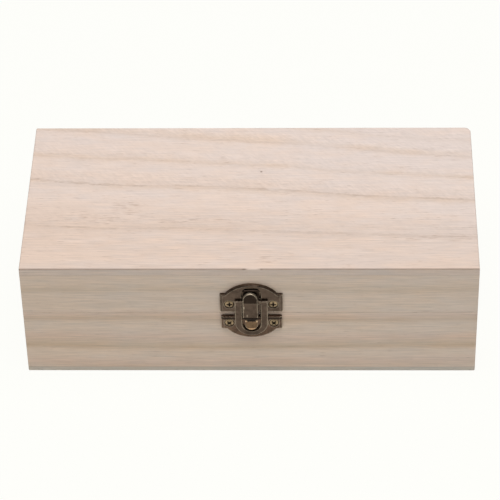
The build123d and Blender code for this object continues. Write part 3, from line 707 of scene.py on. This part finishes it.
class STORAGEBOX_OT_latch(bpy.types.Operator):
    """Gives the latch its antique bronze"""

    bl_idname = "storage_box.latch"
    bl_label = "Latch"

    def execute(self, context):
        metal = context.scene.storage_box_bronze
        front = corners(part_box("base_front_wall"))[0].y
        oxide_and_shade_spots = [(head, *SEAT) for name in LATCH_SCREWS for head in screw_heads(name)]

        low, high = corners(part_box("latch_upper_plate"))
        middle = (low.x + high.x) / 2
        # Painted light lifts the shade in the upper plate's window.
        window = (middle, front, high.z - WINDOW_DROP)
        # The upper plate's upward edges stay dark as painted shade.
        upper = bronze("antique_bronze_upper", metal, metal.patina, shaded_topside=PLATE_SHADED_TOPSIDE, oxide_and_shade_spots=oxide_and_shade_spots,
                       lit_niches=((window, *WINDOW),), shelters=((window, *WINDOW_SHELTER),))
        dress(("latch_upper_plate",), upper)
        low, high = corners(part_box("latch_lower_plate"))
        # Painted shade along the lower plate's head, and on its upward edges.
        head = ((middle, front, high.z - HEAD_SHADE_DROP), *HEAD_SHADE)
        lower = bronze("antique_bronze_lower", metal, metal.russet, width=LOWER_WIDTH,
                       shaded_topside=PLATE_SHADED_TOPSIDE, oxide_and_shade_spots=(*oxide_and_shade_spots, head))
        dress(("latch_lower_plate",), lower)

        low, high = corners(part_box("latch_hasp"))
        bend = ((middle, front, low.z + BEND_RISE), *BEND)
        # Painted shade on the hasp's upward edges, and behind its face and near its top, with black oxide.
        hasp = bronze("antique_bronze_hasp", metal, metal.patina, wear=HASP_WEAR, shaded_topside=HASP_SHADED_TOPSIDE,
                      deep=front - HASP_DEEP, lip=high.z - HASP_LIP_DROP, dusk=HASP_DUSK, bare=0.0,
                      oxide_and_shade_spots=(bend,))
        dress(HASP, hasp)
        low, high = corners(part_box("latch_lever"))
        radius = (high.x - low.x) / 2
        # Painted highlights on the lever's face.
        painted_highlights = [(low + Vector(offset), radii, depth) for offset, radii, depth in LEVER_HIGHLIGHTS]
        crown = (low.x + radius, high.z - radius, radius)
        # Painted shade on the lever's dished tip and on its foot.
        lever = bronze("antique_bronze_lever", metal, metal.patina, width=LEVER_WIDTH,
                       lip=high.z - LEVER_LIP_DROP, shade_below=low.z + LEVER_SHADE_RISE, painted_highlights=painted_highlights, crown=crown)
        dress(LEVER, lever)
        low, high = corners(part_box("latch_staple"))
        # Two painted glints on the staple.
        glints = [(((low.x + high.x) / 2 + side * GLINT_SIDE, front, low.z + GLINT_RISE), *GLINT)
                  for side in (-1, 1)]
        dress(("latch_staple",), bronze("rubbed_bronze", metal, metal.copper, painted_highlights=glints))
        return {"FINISHED"}


class STORAGEBOX_OT_hinges(bpy.types.Operator):
    """Gives the two hinges their antique bronze"""

    bl_idname = "storage_box.hinges"
    bl_label = "Hinges"

    def execute(self, context):
        metal = context.scene.storage_box_bronze
        dress(HINGES, bronze("antique_bronze_hinge", metal, metal.patina))
        return {"FINISHED"}


class STORAGEBOX_OT_screws(bpy.types.Operator):
    """Gives the screws their bronzed brass"""

    bl_idname = "storage_box.screws"
    bl_label = "Screws"

    def execute(self, context):
        metal = context.scene.storage_box_bronze
        recesses = []
        for nodes, inward in ((LATCH_SCREWS, CROSS_DEPTH), (HINGE_SCREWS, -CROSS_DEPTH)):
            for name in nodes:
                for head in screw_heads(name):
                    bottom = head + Vector((0, inward, 0))
                    recesses += [(bottom, *CROSS), (bottom, *CROSS_HALO)]
        brass = bronze("bronzed_brass", metal, metal.brass, wear=0.0, oxide_and_shade_spots=recesses)
        dress((*LATCH_SCREWS, *HINGE_SCREWS), brass)
        return {"FINISHED"}


def make_camera(scene, stage):
    """The camera at the photograph's view."""
    camera = bpy.data.objects.new("camera", bpy.data.cameras.new("camera"))
    scene.collection.objects.link(camera)
    camera.data.lens = stage.lens
    back = Vector((sin(stage.yaw) * cos(stage.elevation), -cos(stage.yaw) * cos(stage.elevation),
                   sin(stage.elevation)))
    level = Vector((cos(stage.yaw), sin(stage.yaw), 0))
    upright = back.cross(level)
    right = cos(stage.roll) * level + sin(stage.roll) * upright
    up = cos(stage.roll) * upright - sin(stage.roll) * level
    camera.matrix_world = Matrix((right, up, back)).transposed().to_4x4()
    camera.matrix_world.translation = stage.target + back * stage.distance
    scene.camera = camera


def make_floor(scene, stage):
    """The floor of matt white paper, with a faint shadow. Camera and mirrors see it nearly white."""
    half = stage.floor / 2
    mesh = bpy.data.meshes.new("floor")
    mesh.from_pydata([(-half, -half, 0), (half, -half, 0), (half, half, 0), (-half, half, 0)], [],
                     [(0, 1, 2, 3)])
    floor = bpy.data.objects.new("floor", mesh)
    scene.collection.objects.link(floor)
    material, tree = new_material("white_paper")
    paper = add(tree, "ShaderNodeBsdfDiffuse", {"Color": stage.paper})
    glow = add(tree, "ShaderNodeEmission", {"Color": stage.white, "Strength": 1.0})
    veil = add(tree, "ShaderNodeMixShader", {0: stage.veil, 1: paper, 2: glow})
    rays = add(tree, "ShaderNodeLightPath").node.outputs
    seen = add(tree, "ShaderNodeMath", {0: rays["Is Camera Ray"], 1: rays["Is Glossy Ray"]},
               operation="MAXIMUM")
    seen = add(tree, "ShaderNodeMath", {0: seen, 1: rays["Is Transmission Ray"]}, operation="MAXIMUM")
    both = add(tree, "ShaderNodeMixShader", {0: seen, 1: paper, 2: veil})
    add(tree, "ShaderNodeOutputMaterial", {"Surface": both})
    mesh.materials.append(material)


def make_light(scene, stage):
    """The overhead soft light, and a room for bevels to mirror, bright near the floor and dim higher up."""
    lamp = bpy.data.lights.new("overhead", "AREA")
    lamp.size = stage.light
    lamp.energy = stage.energy
    light = bpy.data.objects.new("overhead", lamp)
    light.location = stage.light_place
    light.rotation_euler = light.location.to_track_quat("Z", "Y").to_euler()
    scene.collection.objects.link(light)

    world = bpy.data.worlds.new("soft_room")
    world.use_nodes = True
    tree = world.node_tree
    tree.nodes.clear()
    ray = add(tree, "ShaderNodeTexCoord", out="Generated")
    height = add(tree, "ShaderNodeSeparateXYZ", {0: ray}, out="Z")
    level = add(tree, "ShaderNodeMapRange", {
        "Value": height, "From Min": ROOM_BRIGHT_TO, "From Max": ROOM_DIM_FROM, "To Min": stage.horizon,
        "To Max": stage.ceiling})
    room = add(tree, "ShaderNodeBackground", {"Color": (1, 1, 1, 1), "Strength": level})
    add(tree, "ShaderNodeOutputWorld", {"Surface": room})
    scene.world = world


class STORAGEBOX_OT_stage(bpy.types.Operator):
    """Makes the camera, the pale floor and the soft light"""

    bl_idname = "storage_box.stage"
    bl_label = "Stage"

    def execute(self, context):
        scene = context.scene
        for make in (make_camera, make_floor, make_light):
            make(scene, scene.storage_box_stage)
        scene.view_settings.view_transform = "Standard"
        return {"FINISHED"}


class STORAGEBOX_PT_panel(bpy.types.Panel):
    """Lists the box's pieces and settings in the sidebar"""

    bl_idname = "STORAGEBOX_PT_panel"
    bl_label = "Storage box"
    bl_space_type = "VIEW_3D"
    bl_region_type = "UI"
    bl_category = "Storage box"

    def draw(self, context):
        for step in STEPS:
            self.layout.operator(step.bl_idname)
        for group, kind in GROUPS.items():
            for name in kind.__annotations__:
                self.layout.prop(getattr(context.scene, group), name)


STEPS = (
    STORAGEBOX_OT_boards,
    STORAGEBOX_OT_latch,
    STORAGEBOX_OT_hinges,
    STORAGEBOX_OT_screws,
    STORAGEBOX_OT_stage,
)
GROUPS = {
    "storage_box_wood": WoodSettings,
    "storage_box_bronze": BronzeSettings,
    "storage_box_stage": StageSettings,
}


def register():
    """Registers the classes and puts the settings on the scene."""
    for kind in (*GROUPS.values(), *STEPS, STORAGEBOX_PT_panel):
        bpy.utils.register_class(kind)
    for name, kind in GROUPS.items():
        setattr(bpy.types.Scene, name, PointerProperty(type=kind))


def unregister():
    """Takes away what register made, in the opposite order."""
    for name in GROUPS:
        delattr(bpy.types.Scene, name)
    for kind in (STORAGEBOX_PT_panel, *reversed(STEPS), *reversed(GROUPS.values())):
        bpy.utils.unregister_class(kind)


def main():
    """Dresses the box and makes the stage."""
    register()
    bpy.ops.storage_box.boards()
    bpy.ops.storage_box.latch()
    bpy.ops.storage_box.hinges()
    bpy.ops.storage_box.screws()
    bpy.ops.storage_box.stage()


if __name__ == "__main__":
    main()
